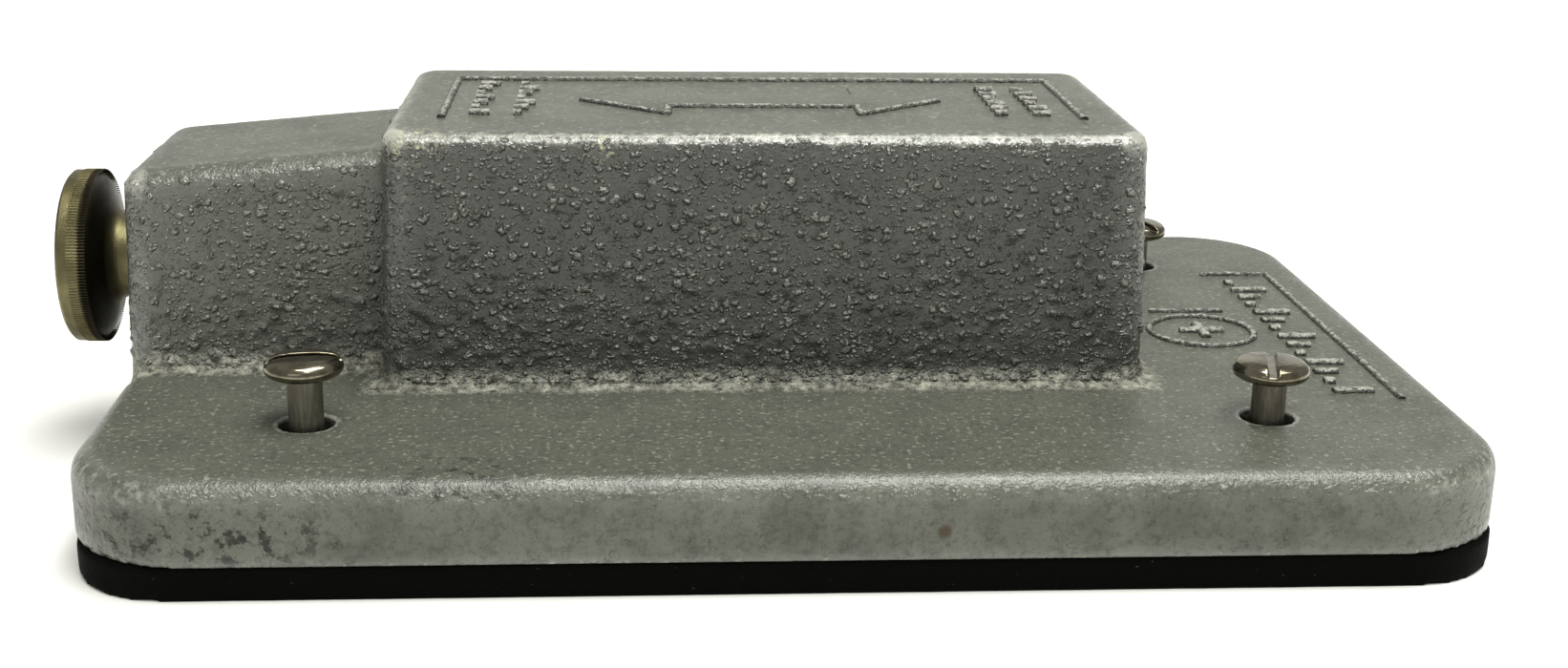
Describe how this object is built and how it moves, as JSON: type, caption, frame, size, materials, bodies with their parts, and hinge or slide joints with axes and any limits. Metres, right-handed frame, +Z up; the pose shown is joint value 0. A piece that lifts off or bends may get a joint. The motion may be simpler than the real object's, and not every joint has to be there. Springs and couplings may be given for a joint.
{
  "type": "sewing machine control pedal box",
  "caption": "Screw-down cast control box on a rubber gasket: a tall block with a sloped nose, and a knurled end knob that drives an inner brush carriage.",
  "frame": {"origin": "centre of the gasket's underside, the face that lies on the bench or mounting panel", "axes": "+Z up through the block's roof, +X along the length away from the knob, +Y to the rear"},
  "size_m": [0.1879, 0.119, 0.0495],
  "materials": {
    "grey_paint": "grey enamel over sand-cast iron, worn at the edges",
    "gasket_rubber": "matt black sheet rubber with cut edges",
    "grommet_rubber": "moulded black rubber",
    "sheet_steel": "zinc plated sheet steel",
    "knob_brass": "dull olive brass with a fine straight knurl",
    "bearing_bronze": "turned bronze",
    "seal_felt": "oiled felt",
    "machined_steel": "turned bright steel",
    "plated_steel": "polished nickel plate, slightly worn",
    "black_steel": "black oxide",
    "resistor_ceramic": "unglazed ceramic",
    "resistance_wire": "close-wound resistance wire",
    "insulator_mica": "pressed mica",
    "phenolic": "dark brown moulded phenolic",
    "terminal_brass": "plain brass",
    "brush_carbon": "carbon",
    "lead_insulation": "varnished cotton sleeve"
  },
  "bodies": {
    "housing": {"base_gasket": "gasket_rubber", "base_plate": "sheet_steel", "base_plate_screws": "plated_steel", "bracket_screws": "plated_steel", "cable_grommet": "grommet_rubber", "earth_nut": "terminal_brass", "earth_stud": "machined_steel", "end_insulators": "insulator_mica", "front_bearing": "bearing_bronze", "front_bracket": "sheet_steel", "guide_rod": "machined_steel", "guide_rod_clips": "machined_steel", "housing_casting": "grey_paint", "lead_wire_front": "lead_insulation", "lead_wire_guide": "lead_insulation", "lead_wire_rear": "lead_insulation", "rear_bearing": "bearing_bronze", "rear_bracket": "sheet_steel", "resistance_winding": "resistance_wire", "resistor_core": "resistor_ceramic", "resistor_tie_rod": "machined_steel", "shaft_bush": "bearing_bronze", "shaft_seal": "seal_felt", "terminal_block": "phenolic", "terminal_block_screws": "plated_steel", "terminal_screws": "terminal_brass", "tie_rod_nuts": "plated_steel", "winding_end_bands": "bearing_bronze"},
    "knob_spindle": {"knob": "knob_brass", "knob_set_screw": "black_steel", "knob_shaft": "machined_steel", "shaft_collar": "machined_steel", "collar_set_screw": "black_steel", "shaft_coupling": "machined_steel", "coupling_set_screw": "black_steel", "lead_screw": "machined_steel", "lead_screw_rings": "machined_steel"},
    "brush_carriage": {"carriage": "phenolic", "lead_nut": "bearing_bronze", "lead_nut_screws": "plated_steel", "guide_bush": "bearing_bronze", "brush_arm": "bearing_bronze", "brush_arm_screws": "plated_steel", "brush_tube": "bearing_bronze", "carbon_brush": "brush_carbon", "brush_spring": "machined_steel"},
    "front_left_screw": {"mounting_screw_front_left": "plated_steel"},
    "front_right_screw": {"mounting_screw_front_right": "plated_steel"},
    "rear_left_screw": {"mounting_screw_rear_left": "plated_steel"},
    "rear_right_screw": {"mounting_screw_rear_right": "plated_steel"}
  },
  "joints": [
    {"name": "knob_turn", "type": "hinge", "parent": "housing", "child": "knob_spindle", "pos_m": [-0.0989, 0.0016, 0.0264], "axis": [1, 0, 0], "range_deg": [-1080, 1080]},
    {"name": "carriage_travel", "type": "slide", "parent": "housing", "child": "brush_carriage", "axis": [1, 0, 0], "range_m": [-0.027, 0.027]},
    {"name": "front_left_screw_slide", "type": "slide", "parent": "housing", "child": "front_left_screw", "axis": [0, 0, 1], "range_m": [-0.0063, 0.012]},
    {"name": "front_right_screw_slide", "type": "slide", "parent": "housing", "child": "front_right_screw", "axis": [0, 0, 1], "range_m": [-0.0052, 0.012]},
    {"name": "rear_left_screw_slide", "type": "slide", "parent": "housing", "child": "rear_left_screw", "axis": [0, 0, 1], "range_m": [-0.0056, 0.012]},
    {"name": "rear_right_screw_slide", "type": "slide", "parent": "housing", "child": "rear_right_screw", "axis": [0, 0, 1], "range_m": [-0.0048, 0.012]}
  ],
  "couplings": [
    {"joint": "carriage_travel", "follows": "knob_turn", "m_per_rad": 0.0014324}
  ]
}
